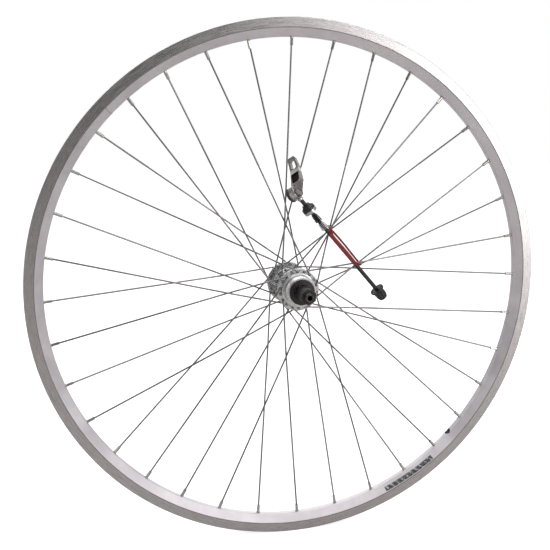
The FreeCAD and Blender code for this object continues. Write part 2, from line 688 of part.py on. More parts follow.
def adjusting_nut():
    """The fluted black nut, hollow at its outer end for the nylon insert."""
    inner = ROD_R + RUNNING_CLEARANCE
    pocket = INSERT_R + RUNNING_CLEARANCE
    body = turned([(inner, NUT_START, 0), (NUT_FLANGE_R, NUT_START, 0.4), (NUT_FLANGE_R, NUT_START + 1.8, 0.6),
                   (7.0, NUT_START + 4.0, 2.0), (6.6, NUT_END - 4.0, 2.0), (5.2, NUT_END, 0.8),
                   (3.0, NUT_END, 0.2), (3.0, NUT_END - 2.0, 0), (pocket, NUT_END - 2.0, 0),
                   (pocket, NUT_END - 5.5, 0), (inner, NUT_END - 5.5, 0)])
    cuts = []
    for index in range(6):
        flute = Part.makeCylinder(2.4, 12.0, Vector(0, NUT_START + 3.4, 8.2), Vector(0, 1, 0))
        flute.rotate(Vector(0, 0, 0), Vector(0, 1, 0), 60.0 * index + 30)
        cuts.append(flute)
    for index in range(24):
        notch = Part.makeBox(0.7, 0.7, 4.0, Vector(-0.35, -0.35, 5.2))
        notch.rotate(Vector(0, 0, 0), Vector(0, 0, 1), 45)
        notch.translate(Vector(0, NUT_START, 0))
        notch.rotate(Vector(0, 0, 0), Vector(0, 1, 0), 15.0 * index)
        cuts.append(notch)
    return on_rod(body.cut(cuts))


def nylon_insert():
    """The friction ring inside the nut. It has running clearance on both the rod and the nut."""
    inner = ROD_R + RUNNING_CLEARANCE
    return on_rod(turned_plain([(inner, NUT_END - 5.3), (INSERT_R, NUT_END - 5.3), (INSERT_R, NUT_END - 2.2),
                                (inner, NUT_END - 2.2)]))


def level_point(along, out, y):
    """The same, at a given place along the axle."""
    point = rod_point(along, out, 0)
    point.y = y
    return point


def rubber_band():
    """A closed loop: in front of the rod one way, behind the crossed spokes the other way."""
    front = -ROD_R - BAND_R - 0.15
    route = [rod_point(68.2, 0.2, front), rod_point(116.4, 0.2, front), rod_point(121.4, 4.1, front + 1.0),
             level_point(124.6, 5.5, -15.2), level_point(124.5, 5.9, -11.2), level_point(121.8, 5.9, BAND_BACK_Y),
             level_point(63.0, 6.4, BAND_BACK_Y), level_point(60.4, 6.4, -11.2), level_point(60.2, 6.0, -15.4),
             rod_point(62.4, 4.6, front + 1.0)]
    pieces = []
    for index, start in enumerate(route):
        pieces.append(rod_between(start, route[(index + 1) % len(route)], BAND_R))
        pieces.append(Part.makeSphere(BAND_R, start))
    return pieces[0].fuse(pieces[1:]).removeSplitter()


# ---------------------------------------------------------------- the nodes

def drive_cone_end():
    return DRIVE_BALLS_Y - CONE_LENGTH


def left_cone_end():
    return LEFT_BALLS_Y + CONE_LENGTH


def build_axle_set():
    save(axle(), "axle")
    save(cone(DRIVE, DRIVE_BALLS_Y), "cone_drive")
    save(cone(LEFT, LEFT_BALLS_Y), "cone_left")
    save(lock_washer(DRIVE, drive_cone_end()), "lock_washer_drive")
    save(lock_washer(LEFT, left_cone_end()), "lock_washer_left")
    inner_face = LOCKNUT_FACE - LOCKNUT_HEIGHT
    save(collar(8.8, -inner_face, drive_cone_end() - WASHER_THICKNESS), "spacer_drive")
    save(collar(8.0, left_cone_end() + WASHER_THICKNESS, inner_face), "spacer_left")
    save(locknut(DRIVE), "locknut_drive")
    save(locknut(LEFT), "locknut_left")


def build_wheel():
    save(rim(), "rim")
    save(rim_tape(), "rim_tape")
    save(rim_joint_sleeve(), "rim_joint_sleeve")
    for name, side, turn in (("spokes_drive_outer", DRIVE, -1), ("spokes_drive_inner", DRIVE, 1),
                             ("spokes_left_outer", LEFT, -1), ("spokes_left_inner", LEFT, 1)):
        family = [i for i in range(SPOKE_COUNT) if spoke_side(i) == side and spoke_turn(i) == turn]
        save(group([spoke(i) for i in family]), name)
    for name, side in (("nipples_drive", DRIVE), ("nipples_left", LEFT)):
        save(group([nipple(i) for i in range(SPOKE_COUNT) if spoke_side(i) == side]), name)
    for piece, name in zip(hub(), ("hub_flange_drive", "hub_barrel", "hub_flange_left")):
        save(piece, name)
    save(bearing_cup(DRIVE, DRIVE_BALLS_Y), "bearing_cup_drive")
    save(bearing_cup(LEFT, LEFT_BALLS_Y), "bearing_cup_left")
    save(dust_cap(DRIVE, DRIVE_BALLS_Y, DRIVE_CAP_R), "dust_cap_drive")
    save(dust_cap(LEFT, LEFT_BALLS_Y, LEFT_CAP_R), "dust_cap_left")
    save(ball_set(DRIVE_BALLS_Y), "balls_drive")
    save(ball_set(LEFT_BALLS_Y), "balls_left")


def build_skewer():
    save(skewer_rod(), "skewer_rod")
    save(skewer_head(), "skewer_head")
    save(head_cap_ring(), "head_cap_ring")
    save(cam_shaft(), "cam_shaft")
    save(cam_end_cap(), "cam_end_cap")
    save(qr_lever(), "qr_lever")
    save(cup_washer(), "cup_washer")
    save(serrated_ring(), "serrated_ring")
    save(conical_spring(*BLACK_SPRING), "spring_black")
    save(conical_spring(*STEEL_SPRING), "spring_steel")
    save(adjusting_nut(), "adjusting_nut")
    save(nylon_insert(), "nylon_insert")
    save(rubber_band(), "rubber_band")


os.makedirs(OUT, exist_ok=True)
build_axle_set()
build_wheel()
build_skewer()
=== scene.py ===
"""Looks of a spoked rear wheel and of the quick-release skewer tied to its spokes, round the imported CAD.

Blender's own numbers are in metres in the CAD frame: +Y along the axle from the drive side, +Z up.
Distances inside shaders, and those that are multiplied by MM, are in millimetres.
"""
import json
import math

import bmesh
import bpy
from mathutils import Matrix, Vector, noise


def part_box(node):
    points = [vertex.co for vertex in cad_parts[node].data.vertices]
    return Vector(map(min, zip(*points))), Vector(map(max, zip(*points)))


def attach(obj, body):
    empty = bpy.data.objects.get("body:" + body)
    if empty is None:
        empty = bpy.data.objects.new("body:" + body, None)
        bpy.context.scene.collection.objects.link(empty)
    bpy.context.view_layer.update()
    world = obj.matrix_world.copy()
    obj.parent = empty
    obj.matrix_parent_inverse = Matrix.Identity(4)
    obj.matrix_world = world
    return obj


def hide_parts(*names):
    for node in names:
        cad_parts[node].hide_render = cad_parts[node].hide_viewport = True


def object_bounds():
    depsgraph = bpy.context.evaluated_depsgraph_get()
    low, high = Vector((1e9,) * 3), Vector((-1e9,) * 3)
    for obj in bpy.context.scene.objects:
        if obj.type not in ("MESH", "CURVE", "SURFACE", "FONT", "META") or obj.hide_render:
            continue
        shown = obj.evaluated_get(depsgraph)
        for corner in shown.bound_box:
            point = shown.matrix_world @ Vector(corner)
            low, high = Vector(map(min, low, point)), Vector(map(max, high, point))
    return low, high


MM = 0.001

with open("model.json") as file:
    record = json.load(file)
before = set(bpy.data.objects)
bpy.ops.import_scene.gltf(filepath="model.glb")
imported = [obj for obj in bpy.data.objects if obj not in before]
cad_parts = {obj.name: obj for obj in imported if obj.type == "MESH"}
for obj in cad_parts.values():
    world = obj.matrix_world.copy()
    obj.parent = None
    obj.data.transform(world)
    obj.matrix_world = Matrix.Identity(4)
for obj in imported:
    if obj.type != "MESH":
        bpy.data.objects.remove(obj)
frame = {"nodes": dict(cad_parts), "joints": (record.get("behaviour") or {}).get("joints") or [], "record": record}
cad_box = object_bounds()
scene = bpy.context.scene

# ---------------------------------------------------------------- the skewer's own frame

LEVER_ANGLE = math.radians(58.3)         # how far the lever stands from straight out along the rod


def skewer_frame():
    """The lever's pivot, and unit vectors along the rod, across it and along the cam, from the joints."""
    joints = {joint["name"]: joint for joint in frame["joints"]}
    along = Vector(joints["cam_draw"]["axis"]).normalized()
    across = along.cross(Vector((0, 1, 0))).normalized()
    cam_axis = Vector(joints["lever_throw"]["axis"]).normalized()
    return Vector(joints["lever_throw"]["pos_m"]), along, across, cam_axis


PIVOT, ALONG, ACROSS, CAM_AXIS = skewer_frame()
LEVER_ALONG = CAM_AXIS.cross(ALONG) * math.sin(LEVER_ANGLE) - ALONG * math.cos(LEVER_ANGLE)
LEVER_FACING = CAM_AXIS.cross(LEVER_ALONG)


def rod_point(along, out, lift):
    """A point by its distance along the rod, across it, and in Y from it."""
    return PIVOT + (ALONG * along + ACROSS * out + Vector((0, lift, 0))) * MM


def level_point(along, out, y):
    """A point by its distance along the rod and across it, at a Y of the wheel."""
    point = rod_point(along, out, 0)
    point.y = y * MM
    return point


# ---------------------------------------------------------------- camera and lights

CAMERA_TARGET = Vector((-0.02453, 0.0, 0.01591))
CAMERA_AZIMUTH = math.radians(-13.26)
CAMERA_ELEVATION = math.radians(10.04)
CAMERA_DISTANCE = 0.925
CAMERA_LENS = 49.74


def make_camera():
    azimuth, elevation = CAMERA_AZIMUTH, CAMERA_ELEVATION
    flat = math.cos(elevation)
    back = Vector((math.sin(azimuth) * flat, -math.cos(azimuth) * flat, math.sin(elevation)))
    data = bpy.data.cameras.new("camera")
    data.lens = CAMERA_LENS
    data.sensor_width = 36.0
    data.clip_start = 0.02
    data.clip_end = 60.0
    camera = bpy.data.objects.new("camera", data)
    scene.collection.objects.link(camera)
    camera.location = CAMERA_TARGET + back * CAMERA_DISTANCE
    camera.rotation_mode = "QUATERNION"
    camera.rotation_quaternion = (-back).to_track_quat("-Z", "Y")
    scene.camera = camera


def area_light(name, place, target, size, power):
    data = bpy.data.lights.new(name, "AREA")
    data.shape = "RECTANGLE"
    data.size, data.size_y = size
    data.energy = power
    light = bpy.data.objects.new(name, data)
    scene.collection.objects.link(light)
    light.location = place
    light.rotation_mode = "QUATERNION"
    light.rotation_quaternion = (Vector(target) - Vector(place)).to_track_quat("-Z", "Y")


def make_lights():
    area_light("window_right", (1.25, -1.75, 0.45), (0.15, 0, 0.1), (1.0, 1.3), 13)
    area_light("ceiling", (0.1, -0.3, 2.2), (0, 0, 0), (2.4, 2.0), 26)
    area_light("fill_left", (-1.9, -0.9, 0.5), (0, 0, 0), (1.0, 1.4), 3)
    area_light("rear", (0.3, 2.0, 1.0), (0, 0, 0), (2.0, 1.6), 8)


# ---------------------------------------------------------------- node helpers

class Nodes:
    """A node tree built up from empty, with short calls for the nodes that are used here."""

    def __init__(self, tree):
        self.tree = tree
        self.tree.nodes.clear()

    def add(self, kind, **settings):
        node = self.tree.nodes.new("ShaderNode" + kind)
        for key, value in settings.items():
            setattr(node, key, value)
        return node

    def link(self, output, socket):
        self.tree.links.new(output, socket)

    def feed(self, socket, value):
        """Links a socket, or sets its number, vector or colour."""
        if isinstance(value, bpy.types.NodeSocket):
            self.link(value, socket)
        elif isinstance(value, tuple) and len(value) == 3 and len(socket.default_value) == 4:
            socket.default_value = (*value, 1.0)
        else:
            socket.default_value = value

    def math(self, operation, a, b=0.0):
        node = self.add("Math", operation=operation)
        self.feed(node.inputs[0], a)
        self.feed(node.inputs[1], b)
        return node.outputs[0]

    def times(self, a, b):
        return self.math("MULTIPLY", a, b)

    def parts(self, vector):
        """X, Y and Z of a vector."""
        node = self.add("SeparateXYZ")
        self.link(vector, node.inputs[0])
        return node.outputs

    def span(self, value, low, high, to_low=0.0, to_high=1.0, smooth=True):
        """Maps low..high to to_low..to_high and clamps."""
        node = self.add("MapRange", interpolation_type="SMOOTHSTEP" if smooth else "LINEAR")
        self.feed(node.inputs["Value"], value)
        for key, number in (("From Min", low), ("From Max", high), ("To Min", to_low), ("To Max", to_high)):
            node.inputs[key].default_value = number
        return node.outputs[0]

    def between(self, value, low, high, soft):
        """1 between low and high and 0 outside, with soft edges that lie inside."""
        return self.times(self.span(value, low, low + soft), self.span(value, high, high - soft))


class Shader(Nodes):
    """A material on the Principled shader. Its mm, x, y and z are the place in the CAD frame."""

    def __init__(self, name):
        self.material = bpy.data.materials.new(name)
        self.material.use_nodes = True
        super().__init__(self.material.node_tree)
        self.output = self.add("OutputMaterial")
        self.bsdf = self.add("BsdfPrincipled")
        self.link(self.bsdf.outputs[0], self.output.inputs["Surface"])
        self.mm = self.vector("SCALE", self.add("TexCoord").outputs["Object"], scale=1.0 / MM)
        self.x, self.y, self.z = self.parts(self.mm)

    def vector(self, operation, a, b=None, scale=None):
        node = self.add("VectorMath", operation=operation)
        self.feed(node.inputs[0], a)
        if b is not None:
            self.feed(node.inputs[1], b)
        if scale is not None:
            node.inputs["Scale"].default_value = scale
        return node.outputs["Value" if operation == "DOT_PRODUCT" else "Vector"]

    def join(self, x, y, z):
        node = self.add("CombineXYZ")
        for socket, value in zip(node.inputs, (x, y, z)):
            self.feed(socket, value)
        return node.outputs[0]

    def noise(self, vector, scale, detail=3.0, rough=0.55):
        node = self.add("TexNoise")
        self.feed(node.inputs["Vector"], vector)
        node.inputs["Scale"].default_value = scale
        node.inputs["Detail"].default_value = detail
        node.inputs["Roughness"].default_value = rough
        return node.outputs["Fac"]

    def mix(self, factor, a, b):
        node = self.add("Mix", data_type="RGBA")
        self.feed(node.inputs[0], factor)
        self.feed(node.inputs[6], a)
        self.feed(node.inputs[7], b)
        return node.outputs[2]

    def bump(self, height, depth, before=None):
        """Depth is in millimetres for a height that runs from 0 to 1."""
        node = self.add("Bump")
        node.inputs["Strength"].default_value = 1.0
        node.inputs["Distance"].default_value = depth * MM
        self.feed(node.inputs["Height"], height)
        if before is not None:
            self.link(before, node.inputs["Normal"])
        return node.outputs[0]

    def surface(self, colour, roughness, normal=None, **numbers):
        """Sets the Principled shader: specular_ior_level=0.2, for one, sets its Specular IOR Level."""
        self.feed(self.bsdf.inputs["Base Color"], colour)
        self.feed(self.bsdf.inputs["Roughness"], roughness)
        if normal is not None:
            self.link(normal, self.bsdf.inputs["Normal"])
        for key, value in numbers.items():
            self.bsdf.inputs[key.replace("_", " ").title().replace("Ior", "IOR")].default_value = value
        return self.material

    def wheel_polar(self):
        """Distance from the axle, and angle in radians, clockwise from the top as the drive side is seen."""
        squares = self.math("ADD", self.times(self.x, self.x), self.times(self.z, self.z))
        return self.math("SQRT", squares), self.math("ARCTAN2", self.x, self.z)

    def turned_about_axle(self):
        """Turns the anisotropic gloss to run round the axle."""
        tangent = self.add("Tangent", direction_type="RADIAL", axis="Y")
        self.link(tangent.outputs[0], self.bsdf.inputs["Tangent"])


# ---------------------------------------------------------------- rim

TRACK_SIDE = 10.7                        # the tracks lie at least this far from the middle plane
TRACK_INNER, TRACK_OUTER = 305.0, 316.5  # the tracks' edges, from the axle
SEAM_ANGLE = math.radians(-45.9)         # where the ends of the extrusion meet
DECAL_FROM, DECAL_TO = 141.5, 156.0      # degrees clockwise from the top, as the drive side is seen
DECAL_LOW, DECAL_HIGH = 297.0, 304.0     # the sticker's edges, from the axle
DECAL_SIDE = -6.0                        # it is only on the wall beyond this Y


def decal(s, wall, radius, angle):
    """A plain sticker on the drive side wall: a dark strip with slanting pale flashes and no lettering."""
    clock = s.times(angle, 180.0 / math.pi)
    along = s.between(clock, DECAL_FROM, DECAL_TO, 0.15)
    across = s.between(radius, DECAL_LOW, DECAL_HIGH, 0.3)
    area = s.times(s.times(along, across), s.span(s.y, DECAL_SIDE, DECAL_SIDE - 0.4))
    slant = s.math("ADD", s.times(clock, 4.4), s.times(radius, 0.7))
    flashes = s.span(s.math("SINE", slant), 0.25, 0.55)
    wear = s.span(s.noise(s.mm, 0.35, 5.0, 0.7), 0.42, 0.56)
    ink = s.mix(s.times(flashes, wear), (0.035, 0.035, 0.04), (0.50, 0.49, 0.50))
    fade = s.span(s.noise(s.mm, 0.9, 5.0, 0.7), 0.38, 0.5, 0.55, 0.95)
    return s.mix(s.times(area, fade), wall, ink)


def rim_finish():
    """Anodised extrusion with bright machined brake tracks, fine circular tool lines and a seam."""
    s = Shader("rim_anodised")
    radius, angle = s.wheel_polar()
    side = s.math("ABSOLUTE", s.y)
    past_inner = s.span(radius, TRACK_INNER, TRACK_INNER + 0.5)
    inside_outer = s.span(radius, TRACK_OUTER, TRACK_OUTER - 0.4)
    track = s.times(s.span(side, TRACK_SIDE, TRACK_SIDE + 0.2), s.times(past_inner, inside_outer))
    lines = s.noise(s.join(s.times(radius, 5.5), s.times(angle, 40.0), s.times(s.y, 5.5)), 1.0, 4.0, 0.6)
    scuffs = s.noise(s.join(s.times(radius, 1.4), s.times(angle, 9.0), s.y), 1.0, 5.0, 0.6)
    blotch = s.noise(s.mm, 0.02, 4.0, 0.6)
    dirt = s.noise(s.mm, 0.22, 6.0, 0.65)
    wall = s.mix(s.span(blotch, 0.35, 0.7), (0.69, 0.65, 0.68), (0.80, 0.76, 0.79))
    wall = s.mix(s.span(dirt, 0.60, 0.78, 0.0, 0.35), wall, (0.40, 0.38, 0.39))
    wall = decal(s, wall, radius, angle)
    machined = s.mix(s.span(lines, 0.3, 0.7), (0.40, 0.375, 0.37), (0.64, 0.61, 0.61))
    machined = s.mix(s.span(scuffs, 0.56, 0.74, 0.0, 0.6), machined, (0.20, 0.18, 0.175))
    colour = s.mix(track, wall, machined)
    rising = s.span(radius, TRACK_INNER - 0.8, TRACK_INNER)
    falling = s.span(radius, TRACK_INNER + 0.9, TRACK_INNER + 0.3)
    step = s.times(s.times(rising, falling), s.span(side, TRACK_SIDE - 0.7, TRACK_SIDE - 0.1))
    colour = s.mix(step, colour, (0.22, 0.215, 0.21))
    seam = s.span(s.math("ABSOLUTE", s.math("SUBTRACT", angle, SEAM_ANGLE)), 0.0003, 0.0008, 1.0, 0.0)
    colour = s.mix(seam, colour, (0.05, 0.05, 0.05))
    rough_wall = s.span(blotch, 0.3, 0.7, 0.36, 0.46)
    rough_track = s.span(scuffs, 0.35, 0.7, 0.24, 0.36)
    rough = s.math("ADD", s.times(rough_wall, s.math("SUBTRACT", 1.0, track)), s.times(rough_track, track))
    grain = s.bump(s.noise(s.mm, 3.0, 2.0), 0.012)
    normal = s.bump(s.times(lines, s.math("ADD", track, 0.25)), 0.02, before=grain)
    normal = s.bump(seam, -0.15, before=normal)
    s.turned_about_axle()
    return s.surface(colour, rough, normal, metallic=1.0, anisotropic=0.55)


# ---------------------------------------------------------------- hub, axle and spokes

HUB_MIDDLE = 10.0                        # Y halfway between the flanges
GRIME_REACH = 31.5                       # furthest grime from there, just past the flanges
BORE_EDGE = 3.3                          # radius inside which shade is painted on the axle's end


def hub_finish():
    """Polished shell with turning marks, and grime round the roots of the flanges."""
    s = Shader("hub_polished")
    radius, angle = s.wheel_polar()
    turned = s.noise(s.join(s.times(radius, 4.0), s.times(s.y, 4.0), angle), 1.0, 3.0)
    blotch = s.noise(s.mm, 0.12, 5.0, 0.62)
    grime = s.noise(s.mm, 0.5, 6.0, 0.68)
    colour = s.mix(s.span(turned, 0.35, 0.65), (0.60, 0.60, 0.61), (0.74, 0.74, 0.745))
    colour = s.mix(s.span(blotch, 0.52, 0.72, 0.0, 0.28), colour, (0.42, 0.41, 0.40))
    from_middle = s.math("ABSOLUTE", s.math("SUBTRACT", s.y, HUB_MIDDLE))
    root = s.times(s.span(radius, 25.5, 20.5), s.span(radius, 18.6, 19.8))
    root = s.times(root, s.span(from_middle, GRIME_REACH, GRIME_REACH - 1.5))
    colour = s.mix(s.times(s.span(grime, 0.47, 0.62), root), colour, (0.12, 0.11, 0.10))
    rough = s.span(blotch, 0.3, 0.75, 0.16, 0.34)
    normal = s.bump(turned, 0.015, before=s.bump(s.noise(s.mm, 1.2, 3.0), 0.01))
    s.turned_about_axle()
    return s.surface(colour, rough, normal, metallic=1.0, anisotropic=0.35)


def axle_finish():
    """Steel dulled by old grease, with painted shade inside the bore."""
    s = Shader("axle_dull")
    radius, _ = s.wheel_polar()
    tone = s.noise(s.mm, 0.6, 5.0, 0.6)
    fine = s.noise(s.mm, 5.4, 3.0, 0.6)
    colour = s.mix(s.span(tone, 0.35, 0.68), (0.06, 0.05, 0.047), (0.15, 0.13, 0.12))
    # painted shade inside the bore
    bore = s.span(radius, BORE_EDGE, BORE_EDGE - 0.4)
    colour = s.mix(bore, colour, (0.02, 0.018, 0.017))
    rough = s.math("ADD", s.span(fine, 0.3, 0.7, 0.26, 0.42), s.times(bore, 0.45))
    return s.surface(colour, rough, s.bump(fine, 0.01), metallic=1.0, specular_ior_level=0.1)


def spoke_finish():
    """Drawn stainless wire: a fine grain, dull spots and a slight change of tone round the wheel."""
    s = Shader("spoke_wire")
    _, angle = s.wheel_polar()
    each = s.noise(s.join(s.times(angle, 9.0), 0.0, 0.0), 1.0, 1.0)
    drawn = s.noise(s.mm, 2.5, 3.0)
    spots = s.noise(s.mm, 0.4, 6.0, 0.7)
    colour = s.mix(s.span(each, 0.3, 0.7), (0.16, 0.155, 0.16), (0.34, 0.33, 0.335))
    colour = s.mix(s.span(spots, 0.60, 0.74, 0.0, 0.5), colour, (0.08, 0.075, 0.075))
    rough = s.span(drawn, 0.3, 0.7, 0.24, 0.36)
    return s.surface(colour, rough, s.bump(drawn, 0.008), metallic=1.0)


# ---------------------------------------------------------------- lever

# measured from the pivot: along the lever, across it (the cam's way), and up from its middle plane
ROOT_END = 11.0                          # the warm, worn root ends here
# where painted shade fills the lever's hollow: along the lever, then across
HOLLOW_FROM, HOLLOW_TO = 10.3, 24.9
HOLLOW_NEAR, HOLLOW_FAR = 0.6, 11.8      # across
SLOPE_FROM, SLOPE_TO = 12.0, 29.5        # the lever's face slopes down between these
SUNK_FROM, SUNK_TO = 3.1, 1.8            # heights just under the face at the two ends of its slope
BAR_FROM, BAR_TO = 24.6, 31.0            # a painted highlight: the bright bar past the hollow


def lever_finish():
    """Forged alloy with a painted highlight as a bright bar, warmer at the root, with painted shade in the hollow.
    """
    s = Shader("lever_forged")
    off = s.vector("SUBTRACT", s.mm, tuple(PIVOT / MM))
    along = s.vector("DOT_PRODUCT", off, tuple(LEVER_ALONG))
    height = s.vector("DOT_PRODUCT", off, tuple(LEVER_FACING))
    width = s.vector("DOT_PRODUCT", off, tuple(CAM_AXIS))
    tone = s.noise(s.mm, 0.35, 5.0, 0.6)
    scratch = s.noise(s.vector("MULTIPLY", s.mm, (0.5, 2.6, 0.5)), 2.0, 5.0, 0.65)
    colour = s.mix(s.span(tone, 0.35, 0.7), (0.30, 0.285, 0.28), (0.58, 0.57, 0.565))
    root = s.times(s.span(along, ROOT_END, ROOT_END - 2.5), s.span(width, 3.6, 4.2))
    colour = s.mix(s.times(root, 0.75), colour, (0.27, 0.225, 0.22))
    # painted highlight: a near-white bar across the lever past the hollow
    bar_highlight = s.times(s.span(along, BAR_FROM, BAR_FROM + 0.6), s.span(along, BAR_TO, BAR_TO - 1.5))
    colour = s.mix(s.times(bar_highlight, 0.8), colour, (0.90, 0.90, 0.89))
    colour = s.mix(s.span(scratch, 0.60, 0.74, 0.0, 0.5), colour, (0.20, 0.18, 0.18))
    limit = s.span(along, SLOPE_FROM, SLOPE_TO, SUNK_FROM, SUNK_TO, smooth=False)
    sunk = s.times(s.span(s.math("SUBTRACT", limit, height), 0.0, 0.25), s.span(height, 0.3, 0.6))
    lengthwise = s.between(along, HOLLOW_FROM, HOLLOW_TO, 0.3)
    crosswise = s.between(width, HOLLOW_NEAR, HOLLOW_FAR, 0.3)
    # painted shade: a dark fill in the lever's hollow, below its face
    hollow_shade = s.times(sunk, s.times(lengthwise, crosswise))
    black = s.mix(s.span(scratch, 0.3, 0.7), (0.02, 0.014, 0.013), (0.06, 0.045, 0.042))
    colour = s.mix(hollow_shade, colour, black)
    rough = s.math("ADD", s.span(scratch, 0.3, 0.7, 0.18, 0.36), s.times(hollow_shade, 0.2))
    return s.surface(colour, rough, s.bump(scratch, 0.02), metallic=1.0)


# ---------------------------------------------------------------- other finishes

def worn_metal(name, light, dark, rough, scale, depth=0.01, stain=None):
    """Metal with a drifting tone, uneven polish and a fine grain."""
    s = Shader(name)
    tone = s.noise(s.mm, scale, 5.0, 0.6)
    fine = s.noise(s.mm, scale * 9.0, 3.0, 0.6)
    colour = s.mix(s.span(tone, 0.35, 0.68), dark, light)
    if stain is not None:
        colour = s.mix(s.span(s.noise(s.mm, scale * 2.3, 6.0, 0.7), 0.60, 0.76, 0.0, 0.6), colour, stain)
    return s.surface(colour, s.span(fine, 0.3, 0.7, *rough), s.bump(fine, depth), metallic=1.0)


def coated_black(name, base, rough, wear=None):
    """Black oxide, anodising or moulded plastic: nearly flat colour, uneven gloss and a fine tooth."""
    s = Shader(name)
    tone = s.noise(s.mm, 0.8, 5.0, 0.6)
    tooth = s.noise(s.mm, 5.0, 3.0, 0.6)
    lighter = tuple(c * 1.9 + 0.004 for c in base)
    colour = s.mix(s.span(tone, 0.3, 0.75), base, lighter)
    if wear is not None:
        colour = s.mix(s.span(s.noise(s.mm, 2.4, 6.0, 0.72), 0.62, 0.74, 0.0, 0.5), colour, wear)
    return s.surface(colour, s.span(tone, 0.3, 0.7, *rough), s.bump(tooth, 0.015), metallic=0.0,
                     specular_ior_level=0.5)


def rubber_finish(name, deep, light, rough, scale, through=0.0):
    """Rubber or nylon with a faint bloom, small pits and a waxy spread of gloss."""
    s = Shader(name)
    tone = s.noise(s.mm, scale, 5.0, 0.62)
    pits = s.noise(s.mm, scale * 6.0, 4.0, 0.6)
    colour = s.mix(s.span(tone, 0.35, 0.7), deep, light)
    return s.surface(colour, s.span(pits, 0.3, 0.7, *rough), s.bump(pits, 0.03),
                     specular_ior_level=0.5, subsurface_weight=through, subsurface_scale=MM)


def band_finish():
    """Red elastic with painted shade along the middle and a painted highlight towards its edges."""
    s = Shader("red_band")
    edge = s.add("Attribute", attribute_name="edge").outputs["Fac"]
    tone = s.noise(s.mm, 1.0, 5.0, 0.62)
    pits = s.noise(s.mm, 6.0, 4.0, 0.6)
    middle = s.mix(s.span(tone, 0.35, 0.7), (0.13, 0.005, 0.009), (0.25, 0.012, 0.020))
    edge_highlight = s.mix(s.span(tone, 0.35, 0.7), (0.62, 0.075, 0.095), (0.76, 0.15, 0.18))
    # painted light: shade along the middle of the band and a highlight towards its edges
    colour = s.mix(s.span(edge, 0.45, 0.95), middle, edge_highlight)
    return s.surface(colour, s.span(pits, 0.3, 0.7, 0.30, 0.46), s.bump(pits, 0.03),
                     subsurface_weight=0.25, subsurface_scale=MM)


def finishes():
    """A material for each of the record's slots."""
    return {
        "rim_alloy": rim_finish(),
        "hub_alloy": hub_finish(),
        "lever_alloy": lever_finish(),
        "black_alloy": coated_black("anodised_black", (0.007, 0.006, 0.006), (0.24, 0.42)),
        "black_steel": coated_black("oxide_black", (0.009, 0.007, 0.007), (0.28, 0.46), (0.05, 0.043, 0.04)),
        "black_plastic": coated_black("moulded_black", (0.014, 0.013, 0.013), (0.34, 0.5)),
        "axle_steel": axle_finish(),
        "bearing_steel": worn_metal("ground_steel", (0.62, 0.62, 0.62), (0.46, 0.46, 0.46),
                                    (0.14, 0.24), 1.4),
        "ball_steel": worn_metal("ball_polish", (0.78, 0.78, 0.79), (0.70, 0.70, 0.71),
                                 (0.04, 0.09), 0.9, depth=0.002),
        "spoke_steel": spoke_finish(),
        "spring_steel": worn_metal("zinc_plate", (0.66, 0.66, 0.66), (0.36, 0.36, 0.37),
                                   (0.14, 0.28), 1.5),
        "nipple_plate": worn_metal("nickel_plate", (0.62, 0.61, 0.58), (0.40, 0.39, 0.37),
                                   (0.20, 0.36), 0.8, stain=(0.25, 0.22, 0.18)),
        "tape_rubber": rubber_finish("rim_tape", (0.012, 0.012, 0.012), (0.035, 0.034, 0.034),
                                     (0.6, 0.8), 0.5),
        "nylon": rubber_finish("nylon_ring", (0.62, 0.61, 0.58), (0.76, 0.75, 0.72),
                               (0.35, 0.5), 2.0, through=0.4),
        "band_rubber": band_finish(),
    }


def dress_cad(looks):
    """Puts each slot's material on the CAD nodes that have it."""
    for part in frame["record"]["subparts"]:
        materials = frame["nodes"][part["node"]].data.materials
        look = looks[part["material_slot"]]
        if materials:
            for index in range(len(materials)):
                materials[index] = look
        else:
            materials.append(look)


# ---------------------------------------------------------------- mesh helpers

def new_object(name, mesh_data, body, material):
    piece = bpy.data.objects.new(name, mesh_data)
    scene.collection.objects.link(piece)
    piece.data.materials.append(material)
    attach(piece, body)
    return piece


def grid_mesh(name, rings, closed_along=False):
    """A skin over rings of points, each ring closed, with end caps unless the last ring joins the first."""
    made = bmesh.new()
    rows = [[made.verts.new(point) for point in ring] for ring in rings]
    count = len(rows)
    for i in range(count if closed_along else count - 1):
        here, after = rows[i], rows[(i + 1) % count]
        for j in range(len(here)):
            k = (j + 1) % len(here)
            made.faces.new((here[j], here[k], after[k], after[j]))
    if not closed_along:
        made.faces.new(list(reversed(rows[0])))
        made.faces.new(rows[-1])
    bmesh.ops.recalc_face_normals(made, faces=made.faces)
    for face in made.faces:
        face.smooth = True
    data = bpy.data.meshes.new(name)
    made.to_mesh(data)
    made.free()
    return data


# ---------------------------------------------------------------- threads

# root radius, crest radius and pitch
FREEWHEEL_THREAD = (17.35, 17.75, 1.058)
AXLE_THREAD = (4.78, 5.02, 1.0)
ROD_THREAD = (2.44, 2.53, 0.8)           # the crest stays inside the adjusting nut's bore
FREEWHEEL_THREAD_SPAN = (0.3, 10.2)      # from the hub's outer face
ROD_THREAD_SPAN = (146.0, 161.0)         # along the rod from the lever's pivot
BARE_TURNS = 0.4                         # left at each end of a thread
FADE_TURNS = 0.35                        # over which the crest rises from the root
FOOT = 0.25                              # how deep the ridge's foot goes below the root


